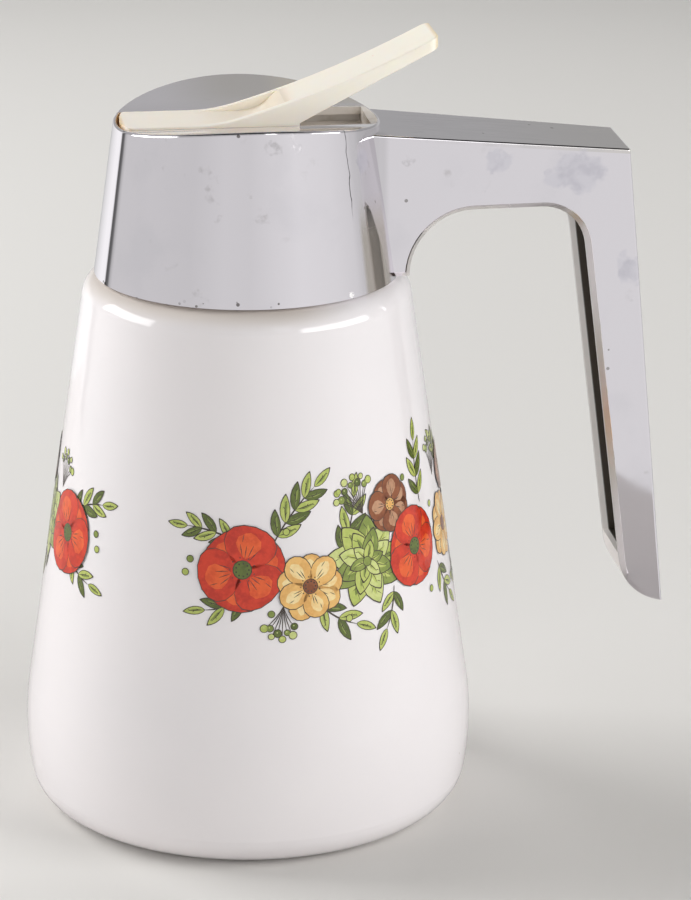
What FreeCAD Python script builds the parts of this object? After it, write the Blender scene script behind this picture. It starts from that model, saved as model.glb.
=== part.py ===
"""Syrup pitcher: an opaque glass jar, a plated pour cap moulded in one piece with its handle,
and a plastic thumb lever that slides in the cap to open the pour hole.

Frame, in millimetres: the origin is the centre of the foot on the table, +Z is up,
+X points to the handle and -X to the spout. Y runs across the handle.
"""
import math
import os

import FreeCAD
import Part

V = FreeCAD.Vector

# ---- jar --------------------------------------------------------------------------------------
jar_widest_radius = 47.0
jar_widest_z = 17.0
jar_shoulder_z = 114.2
jar_shoulder_round = 5.0
jar_ledge = 3.3                 # flat part of the shoulder, from the neck to the round
jar_belly_round = 60.0          # soft turn between the leaning side and the foot
jar_foot_round = 8.0
jar_wall = 3.2
jar_floor = 5.0
jar_inner_round = 6.0
foot_ring_width = 7.2           # flat ring that the jar stands on
foot_recess_depth = 1.0

neck_radius = 25.6
neck_wall = 3.4
neck_height = 21.8              # above the shoulder
neck_lip_round = 0.8

# ---- pour cap ---------------------------------------------------------------------------------
cap_rim_gap = 0.3               # between the cap's lower rim and the jar's shoulder
cap_neck_clearance = 0.3
cap_wall = 5.4                  # at the lower rim
cap_draft_deg = 7.9
cap_headroom = 9.5              # from the jar's lip to the middle of the dished top
cap_dish_radius = 94.2          # the top is part of a cylinder that lies along X
cap_ceiling = 2.2               # thickness of the dished top over the jar's mouth
cap_edge_round = 0.5

# ---- lever and the channel it slides in -------------------------------------------------------
lever_width = 14.8
lever_front_gap = 0.6           # between the lever's front end and the lip
lever_side_gap = 0.35
lever_floor_gap = 0.25
lever_proud = 0.65              # how far its top stands above the middle of the dish
plate_thickness = 3.3
tongue_reach = 1.8              # the plate's lower edges run under the channel's sides
tongue_thickness = 1.1
lip_wall = 0.7                  # thin wall left in front of the lever, at the dish
channel_floor = 2.0             # thickness under the channel
channel_side = 1.5              # thickness beside the grooves, under the dish
lever_travel = 14.28
stop_gap = 0.3                  # left at the end of the lever's travel

tab_root_x = -11.0              # where the top starts to sweep up
tab_root_deg = 16.0             # slope at the end of the first, tight sweep
tab_knee_x = -2.0
tab_end_x = 38.2
tab_end_deg = 27.5              # slope at the very end
tab_under_deg = 27.4            # slope of the straight underside
tab_plan_round = 2.0
lever_edge_round = 0.3

pocket_side = 1.6               # thickness of the two cheeks beside the thumb pocket
pocket_floor_end_x = -1.0
pocket_sweep = 9.0              # radius of the hollow sweep up from the pocket's floor
pocket_turn_deg = 45.0          # how far that sweep turns up
pocket_crest = 12.0             # radius of the turn back over into the tab's top
pocket_end_deg = 25.0           # slope at the end of that turn, a little more than the tab's
plate_corner_round = 1.5        # the plate's two front corners

hole_lip_gap = 4.4              # from the lip to the front of the pour hole
hole_length = 10.0
hole_width = 9.0
hole_corner_round = 2.0

# ---- handle -----------------------------------------------------------------------------------
arm_root_inset = 6.0            # the arm's top leaves the cap this far inside its lower rim
arm_root_drop = 1.05            # the arm's top starts this far below the middle of the dish
arm_fall_deg = 5.42
arm_width_root = 24.6
arm_width_end = 19.4
handle_reach = 30.5             # from the jar's widest place out to the handle's upper corner
grip_lean_deg = 5.6             # outer side of the grip
grip_depth = 8.7                # top of the grip, between its outer and inner sides
grip_inner_lean_deg = 7.4
grip_length = 73.5              # from the cap's lower rim down to the grip's tip
grip_end_rise = 10.5            # from the tip up to the centre of the round
grip_end_round = 10.8
arch_rim_gap = 0.2              # the arch starts this far above the cap's lower rim
arch_cap_gap = 0.7              # and this far outside it
arch_root_round = 13.3
arch_grip_round = 9.5
handle_web = 2.2
handle_cheek = 2.0
handle_edge_round = 0.5
handle_bevel = 1.1              # along the arch and the grip's inner edges

# ---- sizes that follow ------------------------------------------------------------------------
overrun = 1.0                   # how far a cutting shape runs past the face that it opens
near = 0.01                     # two places closer than this are the same place

jar_belly_x = jar_widest_radius - jar_belly_round
jar_shoulder_x = neck_radius + jar_ledge
jar_rise = jar_shoulder_z - jar_shoulder_round - jar_widest_z
jar_run = jar_shoulder_x - jar_belly_x
jar_draft = math.atan2(jar_rise, jar_run) - math.acos(
    (jar_belly_round - jar_shoulder_round) / math.hypot(jar_rise, jar_run))
neck_top_z = jar_shoulder_z + neck_height

cap_slope = math.tan(math.radians(cap_draft_deg))
cap_rim_radius = neck_radius + cap_neck_clearance + cap_wall
cap_rim_z = jar_shoulder_z + cap_rim_gap
dish_z = neck_top_z + cap_headroom
dish_axis_z = dish_z + cap_dish_radius
above_z = dish_z + cap_rim_radius

lever_top_z = dish_z + lever_proud
plate_bottom_z = lever_top_z - plate_thickness
channel_z = plate_bottom_z - lever_floor_gap
channel_half = lever_width / 2 + lever_side_gap
groove_half = channel_half + tongue_reach
lip_radius = cap_rim_radius - cap_slope * (dish_z - cap_rim_z) - lip_wall
plate_front_radius = lip_radius - lever_front_gap
channel_rear_x = math.sqrt(lip_radius**2 - groove_half**2)
plate_rear_x = channel_rear_x - lever_travel - stop_gap
hole_front_x = hole_lip_gap - lip_radius

arm_root_x = cap_rim_radius - arm_root_inset
handle_end_x = jar_widest_radius + handle_reach
grip_inner_x = handle_end_x - grip_depth
grip_tip_z = cap_rim_z - grip_length
grip_end_z = grip_tip_z + grip_end_rise
arch_root_x = cap_rim_radius + arch_cap_gap + arch_root_round
arch_root_z = cap_rim_z + arch_rim_gap
arch_z = arch_root_z + arch_root_round


# ---- shapes -----------------------------------------------------------------------------------
def point(x, z):
    """A point of the plane y = 0, where all the side profiles are drawn."""
    return V(x, 0, z)


def on_arc(centre, radius, angle_deg):
    """The point of a circle in the XZ plane at an angle measured up from +X."""
    angle = math.radians(angle_deg)
    return point(centre[0] + radius * math.cos(angle), centre[1] + radius * math.sin(angle))


def arc(centre, radius, start_deg, end_deg):
    """Part of a circle in the XZ plane."""
    middle_deg = (start_deg + end_deg) / 2
    stops = [on_arc(centre, radius, angle) for angle in (start_deg, middle_deg, end_deg)]
    return Part.Arc(*stops).toShape()


def along(edge, share):
    """The place at a share of an edge's length."""
    return edge.valueAt(edge.FirstParameter + (edge.LastParameter - edge.FirstParameter) * share)


def outline(*steps):
    """A closed wire. Each step is a point or an edge, and lines join what doesn't touch."""
    edges = []
    for step, following in zip(steps, steps[1:] + steps[:1]):
        is_edge = isinstance(step, Part.Shape)
        if is_edge:
            edges.append(step)
        stop = along(step, 1) if is_edge else step
        start = along(following, 0) if isinstance(following, Part.Shape) else following
        if stop.distanceToPoint(start) > near / 100:
            edges.append(Part.LineSegment(stop, start).toShape())
    return Part.Wire(edges)


def turned(wire):
    """The solid that an outline sweeps round the jar's axis."""
    return Part.Face(wire).revolve(V(0, 0, 0), V(0, 0, 1), 360)


def across(wire, half_width):
    """The solid of a side profile, centred on y = 0."""
    face = Part.Face(wire)
    face.translate(V(0, -half_width, 0))
    return face.extrude(V(0, 2 * half_width, 0))


def upright(radius, low_z, high_z):
    """A cylinder round the jar's axis."""
    return Part.makeCylinder(radius, high_z - low_z, V(0, 0, low_z))


def block(low_x, high_x, half_width, low_z, high_z):
    """A box centred on y = 0."""
    corner = V(low_x, -half_width, low_z)
    return Part.makeBox(high_x - low_x, 2 * half_width, high_z - low_z, corner)


def upright_edges(shape):
    """The edges that run straight up."""
    found = []
    for edge in shape.Edges:
        first, last = along(edge, 0), along(edge, 1)
        if math.hypot(first.x - last.x, first.y - last.y) < near:
            found.append(edge)
    return found


def cross_edges(shape, x, z):
    """The edges along Y through a given place of the side view."""
    place = point(x, z)
    return [
        edge for edge in shape.Edges
        if all(point(v.X, v.Z).distanceToPoint(place) < near for v in edge.Vertexes)
    ]


def one_solid(shape, name):
    """Stops the build where a step did not give one sound solid."""
    if len(shape.Solids) != 1 or not shape.isValid():
        raise ValueError(f"{name}: {len(shape.Solids)} solids, valid {shape.isValid()}")
    return shape.Solids[0]


# ---- jar --------------------------------------------------------------------------------------
def jar_side(wall, foot_round, floor_z):
    """The rounds of foot, belly and shoulder, moved in by a wall, with straight lines between."""
    draft_deg = math.degrees(jar_draft)
    belly = (jar_belly_x, jar_widest_z)
    belly_round = jar_belly_round - wall
    foot_z = floor_z + foot_round
    foot_x = jar_belly_x + math.sqrt((belly_round - foot_round)**2 - (jar_widest_z - foot_z)**2)
    turn_deg = math.degrees(math.atan2(foot_z - jar_widest_z, foot_x - jar_belly_x))
    shoulder_x = jar_shoulder_x - wall * (1 - math.sin(jar_draft)) / math.cos(jar_draft)
    shoulder_z = jar_shoulder_z - wall - jar_shoulder_round
    return [
        arc((foot_x, foot_z), foot_round, -90, turn_deg),
        arc(belly, belly_round, turn_deg, draft_deg),
        arc((shoulder_x, shoulder_z), jar_shoulder_round, draft_deg, 90),
    ]


def make_jar():
    """One turned glass shell, open at the neck, with a shallow recess under the foot."""
    bore = neck_radius - neck_wall
    lip = neck_lip_round
    outer_side = jar_side(0, jar_foot_round, 0)
    recess_radius = along(outer_side[0], 0).x - foot_ring_width
    outer = outline(
        point(0, foot_recess_depth),
        point(recess_radius - foot_recess_depth, foot_recess_depth),
        point(recess_radius, 0),
        *outer_side,
        point(neck_radius, jar_shoulder_z),
        arc((neck_radius - lip, neck_top_z - lip), lip, 0, 90),
        point(0, neck_top_z),
    )
    inner = outline(
        point(0, jar_floor),
        *jar_side(jar_wall, jar_inner_round, jar_floor),
        point(bore, jar_shoulder_z - jar_wall),
        point(bore, neck_top_z + overrun),
        point(0, neck_top_z + overrun),
    )
    return one_solid(turned(outer).cut(turned(inner)), "jar")


# ---- handle -----------------------------------------------------------------------------------
def arm_top(x):
    """Height of the arm's top face."""
    return dish_z - arm_root_drop - (x - arm_root_x) * math.tan(math.radians(arm_fall_deg))


def grip_outer(z, inset=0.0):
    """Place of the grip's outer side at a height."""
    lean = math.tan(math.radians(grip_lean_deg))
    return handle_end_x - inset + (arm_top(handle_end_x) - z) * lean


def grip_end_centre():
    """Centre of the round that ends the grip, tangent to its inner side."""
    lean = math.radians(grip_inner_lean_deg)
    corner_z = arch_z - arch_grip_round + arch_grip_round * math.sin(lean)
    start_z = grip_end_z - grip_end_round * math.sin(lean)
    start_x = grip_inner_x + (corner_z - start_z) * math.tan(lean)
    return start_x + grip_end_round * math.cos(lean), grip_end_z


def handle_profile():
    """Side view of the handle, from inside the cap out to the grip's tip and back."""
    inside_cap = arm_root_x / 2
    lean_deg = grip_inner_lean_deg
    end_centre = grip_end_centre()
    tip_deg = 180 + math.degrees(math.asin(grip_end_rise / grip_end_round))
    corner_x = grip_inner_x - arch_grip_round * math.cos(math.radians(lean_deg))
    return outline(
        point(inside_cap, arm_top(inside_cap)),
        point(handle_end_x, arm_top(handle_end_x)),
        point(grip_outer(grip_tip_z), grip_tip_z),
        arc(end_centre, grip_end_round, tip_deg, 180 + lean_deg),
        arc((corner_x, arch_z - arch_grip_round), arch_grip_round, lean_deg, 90),
        arc((arch_root_x, arch_root_z), arch_root_round, 90, 180),
        point(inside_cap, arch_root_z),
    )


def handle_plan(inset):
    """Plan view of the handle, as a tall wedge: it narrows all the way out from the cap."""
    narrowing = (arm_width_root - arm_width_end) / 2 / (handle_end_x - arm_root_x)
    low_z = grip_tip_z - handle_web
    reach = grip_outer(low_z)
    root = arm_width_root / 2 - inset
    end = root - (reach - arm_root_x) * narrowing
    half = [(0, root), (arm_root_x, root), (reach, end)]
    other_half = [(x, -y) for x, y in reversed(half)]
    ring = [V(x, y, low_z) for x, y in half + other_half + half[:1]]
    return Part.Face(Part.makePolygon(ring)).extrude(V(0, 0, dish_z - low_z))


def handle_hollow():
    """The open inside of the channel, which runs out through the inner edges."""
    turn_x, turn_z = grip_end_centre()
    gap_x = (arch_root_x + grip_inner_x) / 2
    low_z = grip_tip_z - handle_web
    upper = outline(
        point(0, arm_top(0) - handle_web),
        point(handle_end_x - handle_web, arm_top(handle_end_x) - handle_web),
        point(grip_outer(turn_z, handle_web), turn_z),
        point(gap_x, turn_z),
        point(0, cap_rim_z - handle_web),
    )
    lower = outline(
        point(gap_x, turn_z + overrun),
        point(grip_outer(turn_z + overrun, handle_web), turn_z + overrun),
        point(grip_outer(low_z, handle_web), low_z),
        point(gap_x, low_z),
    )
    start = V(turn_x, -arm_width_root, turn_z)
    round_end = Part.makeCylinder(
        grip_end_round - handle_web, 2 * arm_width_root, start, V(0, 1, 0))
    lower = across(lower, arm_width_root).common(round_end)
    return across(upper, arm_width_root).fuse(lower)


def rim_edges(shape, wanted):
    """The long edges of the handle's two sides whose middle a test accepts."""
    found = []
    for edge in shape.Edges:
        middle = along(edge, 0.5)
        runs_across = abs(middle.y) < near
        if not runs_across and middle.x > arm_root_x and wanted(middle):
            found.append(edge)
    return found


def is_outer(place):
    """Whether a place is on the arm's top or the grip's outer side."""
    return abs(place.z - arm_top(place.x)) < near or abs(place.x - grip_outer(place.z)) < near


def is_inner(place):
    """Whether a place is on the arch, the grip's inner side or the round at its end."""
    return not is_outer(place) and place.z > grip_tip_z + near


def make_handle():
    """Arm and grip: a channel that is open to the jar and below."""
    solid = across(handle_profile(), arm_width_root).common(handle_plan(0))
    solid = one_solid(solid, "handle block")
    solid = solid.makeChamfer(handle_bevel, rim_edges(solid, is_inner))
    corner = cross_edges(solid, handle_end_x, arm_top(handle_end_x))
    solid = solid.makeFillet(handle_edge_round, rim_edges(solid, is_outer) + corner)
    hollow = handle_hollow().common(handle_plan(handle_cheek))
    return one_solid(solid.cut(hollow), "handle")


# ---- pour cap ---------------------------------------------------------------------------------
def cap_radius(z):
    """Outer radius of the cap's cone at a height."""
    return cap_rim_radius - (z - cap_rim_z) * cap_slope


def dish(offset=0.0):
    """The cylinder that hollows the top, or one that lies lower by an offset."""
    radius = cap_dish_radius + offset
    length = 4 * cap_rim_radius
    return Part.makeCylinder(radius, length, V(-length / 2, 0, dish_axis_z), V(1, 0, 0))


def cap_cone():
    """The cap's outer shape, from its lower rim up to the dished top."""
    wire = outline(
        point(0, cap_rim_z),
        point(cap_rim_radius, cap_rim_z),
        point(cap_radius(above_z), above_z),
        point(0, above_z),
    )
    return one_solid(turned(wire).cut(dish()), "cap cone")


def funnel():
    """The inside of the cap: the bore round the neck, and the space over the jar's mouth."""
    bore = upright(neck_radius + cap_neck_clearance, cap_rim_z - overrun, neck_top_z)
    mouth = upright(neck_radius - neck_wall, neck_top_z - overrun, above_z).cut(dish(cap_ceiling))
    bed_half = groove_half + channel_side
    bed = block(-cap_rim_radius, cap_rim_radius, bed_half, channel_z - channel_floor, above_z)
    return bore.fuse(mouth.cut(bed))


def channel():
    """The lever's channel, with the grooves that its tongues run in."""
    groove_top = plate_bottom_z + tongue_thickness + lever_floor_gap
    slot = block(-cap_rim_radius, channel_rear_x, channel_half, channel_z, above_z)
    groove = block(-cap_rim_radius, channel_rear_x, groove_half, channel_z, groove_top)
    return slot.fuse(groove).common(upright(lip_radius, channel_z, above_z))


def pour_hole():
    """A rounded slot through the channel's floor, which the lever covers at rest."""
    hole = block(hole_front_x, hole_front_x + hole_length, hole_width / 2, neck_top_z, dish_z)
    return hole.makeFillet(hole_corner_round, upright_edges(hole))


def dish_rim(shape):
    """The edges where the dished top meets the cone."""
    found = []
    for edge in shape.Edges:
        stops = [along(edge, share) for share in (0.2, 0.5, 0.8)]
        on_cone = all(abs(math.hypot(p.x, p.y) - cap_radius(p.z)) < near for p in stops)
        on_dish = all(
            abs(math.hypot(p.y, p.z - dish_axis_z) - cap_dish_radius) < near for p in stops)
        if on_cone and on_dish:
            found.append(edge)
    return found


def make_cap():
    """Cap and handle, one moulding."""
    body = cap_cone().fuse(make_handle()).removeSplitter()
    body = one_solid(body, "cap and handle")
    body = body.makeFillet(cap_edge_round, dish_rim(body))
    for void in (funnel(), channel(), pour_hole()):
        body = body.cut(void)
    return one_solid(body, "pour_cap")


# ---- lever ------------------------------------------------------------------------------------
def sweep_radius(start_x, start_deg, end_x, end_deg):
    """Radius of the arc that turns from one slope to another over a stretch of X."""
    turn = math.sin(math.radians(end_deg)) - math.sin(math.radians(start_deg))
    return (end_x - start_x) / turn


def tab_top():
    """The lever's top: a tight sweep up from the plate, then a long shallow one."""
    tight = sweep_radius(tab_root_x, 0, tab_knee_x, tab_root_deg)
    long = sweep_radius(tab_knee_x, tab_root_deg, tab_end_x, tab_end_deg)
    tight_centre = (tab_root_x, lever_top_z + tight)
    first = arc(tight_centre, tight, -90, -90 + tab_root_deg)
    knee = along(first, 1)
    lean = math.radians(tab_root_deg)
    long_centre = (knee.x - long * math.sin(lean), knee.z + long * math.cos(lean))
    return first, arc(long_centre, long, -90 + tab_root_deg, -90 + tab_end_deg)


def lever_profile():
    """Side view of the lever: the plate, and the tab that rises toward the handle."""
    rise = (tab_end_x - plate_rear_x) * math.tan(math.radians(tab_under_deg))
    return outline(
        point(-cap_rim_radius, plate_bottom_z),
        point(-cap_rim_radius, lever_top_z),
        *tab_top(),
        point(tab_end_x, lever_top_z + rise),
        point(plate_rear_x, lever_top_z),
        point(plate_rear_x, plate_bottom_z),
    )


def thumb_pocket():
    """The scoop at the tab's root: level with the plate, swept up, and over into the tab."""
    hollow_centre = (pocket_floor_end_x, lever_top_z + pocket_sweep)
    hollow = arc(hollow_centre, pocket_sweep, -90, pocket_turn_deg - 90)
    turn = math.radians(pocket_turn_deg)
    brow = along(hollow, 1)
    crest_centre = (
        brow.x + pocket_crest * math.sin(turn), brow.z - pocket_crest * math.cos(turn))
    crest = arc(crest_centre, pocket_crest, 90 + pocket_turn_deg, 90 + pocket_end_deg)
    high_z = lever_top_z + tab_end_x
    wire = outline(
        point(-cap_rim_radius, lever_top_z),
        hollow,
        crest,
        point(along(crest, 1).x, high_z),
        point(-cap_rim_radius, high_z),
    )
    return across(wire, lever_width / 2 - pocket_side)


def tab_edges(lever):
    """The long edges above the plate, along both sides and round the end."""
    found = []
    for edge in lever.Edges:
        middle = along(edge, 0.5)
        low_z = min(vertex.Z for vertex in edge.Vertexes)
        at_end = middle.x > tab_end_x - tab_plan_round - near
        at_side = abs(abs(middle.y) - lever_width / 2) < near
        is_long = edge.Length > tab_plan_round and low_z > lever_top_z - near
        runs_out = abs(along(edge, 0).x - along(edge, 1).x) > near
        if is_long and (at_side or at_end) and (runs_out or abs(middle.y) < near):
            found.append(edge)
    return found


def plate_plan(low_z, high_z):
    """The plate's front half in plan, as a tall block with rounded front corners."""
    disc = upright(plate_front_radius, low_z, high_z)
    strip = block(-cap_rim_radius, overrun, lever_width / 2, low_z, high_z)
    plan = one_solid(disc.common(strip), "plate plan")
    corners = [edge for edge in upright_edges(plan) if along(edge, 0).x < 0]
    return plan.makeFillet(plate_corner_round, corners)


def make_lever():
    """Plate, tongues and tab, one moulding."""
    lever = across(lever_profile(), lever_width / 2)
    end_corners = [edge for edge in upright_edges(lever) if along(edge, 0).x > tab_end_x - near]
    lever = lever.makeFillet(tab_plan_round, end_corners)
    lever = lever.makeFillet(lever_edge_round, tab_edges(lever))
    low_z, high_z = plate_bottom_z - overrun, lever_top_z + tab_end_x
    rear = block(0, 2 * tab_end_x, lever_width, low_z, high_z)
    lever = lever.common(plate_plan(low_z, high_z).fuse(rear))
    tongue = block(
        -cap_rim_radius, plate_rear_x, lever_width / 2 + tongue_reach,
        plate_bottom_z, plate_bottom_z + tongue_thickness)
    tongue = tongue.common(upright(plate_front_radius, low_z, high_z))
    lever = lever.fuse(tongue).removeSplitter().cut(thumb_pocket())
    return one_solid(lever, "thumb_lever")


def main():
    """Builds each piece and writes its file."""
    os.makedirs("parts", exist_ok=True)
    parts = {"jar": make_jar(), "pour_cap": make_cap(), "thumb_lever": make_lever()}
    for name, shape in parts.items():
        shape.exportStep(f"parts/{name}.step")
        print(f"{name}: {shape.Volume / 1000:.2f} cm3, {len(shape.Faces)} faces")
    print(f"the jar's side leans {math.degrees(jar_draft):.2f} deg")
    print(f"the lever's plate ends at x {plate_rear_x:.2f}")
    print(f"the pour hole runs from x {hole_front_x:.2f} to {hole_front_x + hole_length:.2f}")


main()
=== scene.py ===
# %% [markdown]
# A syrup pitcher of opaque white glass. A plated cap and handle are one moulding, and a cream
# plastic thumb lever slides in the cap. The engineering model gives all three solids, so this
# lesson is about their finishes, the printed garland on the glass, and the light they need.

# %% Load the engineering model
import math

import bmesh
import bpy
from mathutils import Matrix, Vector


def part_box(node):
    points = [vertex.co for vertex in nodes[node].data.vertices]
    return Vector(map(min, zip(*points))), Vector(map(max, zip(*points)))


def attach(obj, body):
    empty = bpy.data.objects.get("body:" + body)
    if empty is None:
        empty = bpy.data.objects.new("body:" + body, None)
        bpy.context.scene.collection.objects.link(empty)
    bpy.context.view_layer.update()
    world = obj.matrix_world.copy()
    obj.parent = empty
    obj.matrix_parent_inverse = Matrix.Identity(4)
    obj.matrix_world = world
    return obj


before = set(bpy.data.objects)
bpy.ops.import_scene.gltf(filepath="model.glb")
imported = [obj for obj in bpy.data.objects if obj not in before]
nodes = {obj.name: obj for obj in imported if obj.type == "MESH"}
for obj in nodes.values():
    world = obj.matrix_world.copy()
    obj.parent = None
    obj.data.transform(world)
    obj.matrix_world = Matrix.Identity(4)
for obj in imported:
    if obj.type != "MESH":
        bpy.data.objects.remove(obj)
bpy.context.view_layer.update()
scene = bpy.context.scene
mm = 0.001


def hit(node, start, way):
    """Where a ray from a point first meets a node."""
    found, place, _, _ = nodes[node].ray_cast(Vector(start), Vector(way))
    assert found, (node, start)
    return place


def dress(node, material):
    """Gives a node of the engineering model one material."""
    node.data.materials.clear()
    node.data.materials.append(material)


bpy.context.view_layer.update()
cap_rim = hit("pour_cap", (-0.030, 0, 0.050), (0, 0, 1)).z
print("cap's lower rim", round(cap_rim, 4))

# %% [markdown]
# The camera stands about 0.75 m away with a long lens and looks down by eighteen degrees. It is
# placed by numbers rather than with a Track To constraint, because it also rolls a little.

# %% Camera
camera_data = bpy.data.cameras.new("camera")
camera_data.lens = 151.7
camera = bpy.data.objects.new("camera", camera_data)
camera.location = (-0.08618, -0.7451, 0.32347)
camera.rotation_euler = [math.radians(angle) for angle in (71.679, -0.270, -8.067)]
scene.collection.objects.link(camera)
scene.camera = camera
scene.view_settings.view_transform = "Standard"
print("camera lens", camera_data.lens)

# %% [markdown]
# The floor is a plain pale sheet with no gloss. Plating would mirror all of it, so a second,
# smaller and darker sheet lies a tenth of a millimetre above it, and only mirrors see that one:
# its darker colour is painted shade on the table top close to the pitcher. Both are stage, not
# part of the piece.

# %% Floor
def new_material(name, colour=(0.8, 0.8, 0.8), roughness=0.5, metallic=0.0):
    """A material with a Principled shader, returned with its node tree and that shader."""
    material = bpy.data.materials.new(name)
    material.use_nodes = True
    shader = material.node_tree.nodes["Principled BSDF"]
    shader.inputs["Base Color"].default_value = (*colour, 1)
    shader.inputs["Roughness"].default_value = roughness
    shader.inputs["Metallic"].default_value = metallic
    return material, material.node_tree, shader


def floor_sheet(name, width, depth, height, turn_deg=0.0, centre=(0.0, 0.0)):
    """A flat sheet that lies on the floor and isn't part of the pitcher."""
    bm = bmesh.new()
    bmesh.ops.create_grid(bm, x_segments=1, y_segments=1, size=0.5)
    bmesh.ops.scale(bm, vec=(width, depth, 1), verts=bm.verts)
    bmesh.ops.rotate(bm, matrix=Matrix.Rotation(math.radians(turn_deg), 3, "Z"), verts=bm.verts)
    bmesh.ops.translate(bm, vec=(*centre, height), verts=bm.verts)
    mesh = bpy.data.meshes.new(name)
    bm.to_mesh(mesh)
    bm.free()
    sheet = bpy.data.objects.new(name, mesh)
    scene.collection.objects.link(sheet)
    sheet.data.materials.append(floor_paper)
    return sheet


floor_paper, _, shader = new_material("floor_paper", (0.74, 0.725, 0.70), 0.9)
shader.inputs["Specular IOR Level"].default_value = 0.0
floor = floor_sheet("floor", 8, 8, 0)
floor.visible_glossy = False
mirror_floor = floor_sheet("mirror_floor", 0.60, 0.62, 0.0001, -13.9, (-0.112, 0.02))
# Painted shade: the mirrors' floor is darker, as the shaded table top near the pitcher.
shaded_floor_paper, _, shader = new_material("shaded_floor_paper", (0.52, 0.50, 0.485), 0.9)
shader.inputs["Specular IOR Level"].default_value = 0.0
mirror_floor.data.materials[0] = shaded_floor_paper
mirror_floor.visible_camera = False
mirror_floor.visible_diffuse = False
mirror_floor.visible_shadow = False
print("stage:", floor.name, mirror_floor.name)

# %% [markdown]
# Seven square lamps stand a metre away all round, the strongest high on the left. Soft light from
# many sides suits white glass, which shows every hard shadow. Lamps in a ring could be one bright
# dome instead, but separate powers let the left side stay lighter than the right.

# %% Lights
lamp_side = 0.6
lamp_distance = 1.0
lit_height = 0.08


def softbox(name, azimuth_deg, height_deg, power):
    """A square lamp round the pitcher that faces its middle. Plating doesn't mirror it: the
    surroundings do that."""
    azimuth, height = math.radians(azimuth_deg), math.radians(height_deg)
    level = math.cos(height) * lamp_distance
    away = Vector((level * math.cos(azimuth), level * math.sin(azimuth),
                   math.sin(height) * lamp_distance))
    light = bpy.data.lights.new(name, "AREA")
    light.size = lamp_side
    light.energy = power
    lamp = bpy.data.objects.new(name, light)
    lamp.location = away + Vector((0, 0, lit_height))
    lamp.rotation_euler = (-away).to_track_quat("-Z", "Y").to_euler()
    lamp.visible_glossy = False
    scene.collection.objects.link(lamp)


for name, azimuth_deg, height_deg, power in (
    ("left_high", 150, 32, 7.9), ("left_low", 180, 10, 4.0), ("front_low", 270, 10, 2.6),
    ("right_front_low", 330, 10, 3.1), ("right_front_high", 330, 32, 4.1),
    ("right_back", 30, 10, 2.5), ("back_high", 90, 32, 2.2),
):
    softbox(name, azimuth_deg, height_deg, power)

# %% [markdown]
# Plating is drawn by what it mirrors, so the surroundings are built like a studio. One ramp gives
# the walls round the horizon, with a bright screen and a dark gap beside it at the back left.
# Another gives the ceiling, dark straight overhead. Windows at the left, right and front draw the
# white lines on rounded edges. An image of a room would do this too, but needs a file. The camera
# itself sees a plain grey backdrop.

# %% Surroundings
def ramp_node(tree, stops):
    """A colour ramp of greys, given as places and values."""
    node = tree.nodes.new("ShaderNodeValToRGB")
    elements = node.color_ramp.elements
    while len(elements) < len(stops):
        elements.new(0.5)
    for element, (place, value) in zip(elements, stops):
        element.position = place
        element.color = (value, value, value, 1)
    return node


def maths(tree, operation, *values):
    """A Math node. A value may be a number or another node's output."""
    node = tree.nodes.new("ShaderNodeMath")
    node.operation = operation
    for socket, value in zip(node.inputs, values):
        if isinstance(value, (int, float)):
            socket.default_value = value
        else:
            tree.links.new(value, socket)
    return node.outputs[0]


def step(tree, value, low, high):
    """0 at low, 1 at high and a soft step between; low may be the larger."""
    node = tree.nodes.new("ShaderNodeMapRange")
    node.interpolation_type = "SMOOTHSTEP"
    for name, limit in (("From Min", low), ("From Max", high)):
        if isinstance(limit, (int, float)):
            node.inputs[name].default_value = limit
        else:
            tree.links.new(limit, node.inputs[name])
    tree.links.new(value, node.inputs["Value"])
    return node.outputs["Result"]


def tinted(tree, mask, under, over):
    """One colour laid over another by a mask. A colour may be a node's output."""
    node = tree.nodes.new("ShaderNodeMix")
    node.data_type = "RGBA"
    tree.links.new(mask, node.inputs["Factor"])
    for socket, colour in ((node.inputs[6], under), (node.inputs[7], over)):
        if isinstance(colour, tuple):
            socket.default_value = (*colour, 1)
        else:
            tree.links.new(colour, socket)
    return node.outputs[2]


world = bpy.data.worlds.new("studio")
scene.world = world
world.use_nodes = True
world.cycles_visibility.diffuse = False
tree = world.node_tree
background = tree.nodes["Background"]
direction = tree.nodes.new("ShaderNodeTexCoord").outputs["Generated"]
split = tree.nodes.new("ShaderNodeSeparateXYZ")
tree.links.new(direction, split.inputs[0])
x, y, z = split.outputs
azimuth = maths(tree, "ARCTAN2", y, x)
turn = maths(tree, "MULTIPLY_ADD", azimuth, 0.5 / math.pi, 0.5)


def at(azimuth_deg):
    """Place on the ramp for an azimuth, which runs from -180 to 180 degrees."""
    return azimuth_deg / 360 + 0.5


horizon = ramp_node(tree, [
    (at(-180), 0.64), (at(-140), 0.62), (at(-114), 0.68), (at(-94), 0.67), (at(-76), 0.73),
    (at(-55), 0.79), (at(-25), 0.76), (at(-6), 0.70), (at(2), 0.60), (at(40), 0.52),
    (at(60), 0.50), (at(95), 0.60), (at(104), 0.76), (at(112), 0.88), (at(122), 1.02),
    (at(130.5), 1.02), (at(132), 0.12), (at(136), 0.12), (at(139), 0.50), (at(143), 0.64),
    (at(180), 0.64),
])
tree.links.new(turn, horizon.inputs[0])
sky = ramp_node(tree, [
    (0.50, 0.40), (0.60, 0.38), (0.75, 0.46), (0.86, 0.46), (0.89, 0.03), (1.0, 0.03),
])
tree.links.new(maths(tree, "MULTIPLY_ADD", z, 0.5, 0.5), sky.inputs[0])


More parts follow.
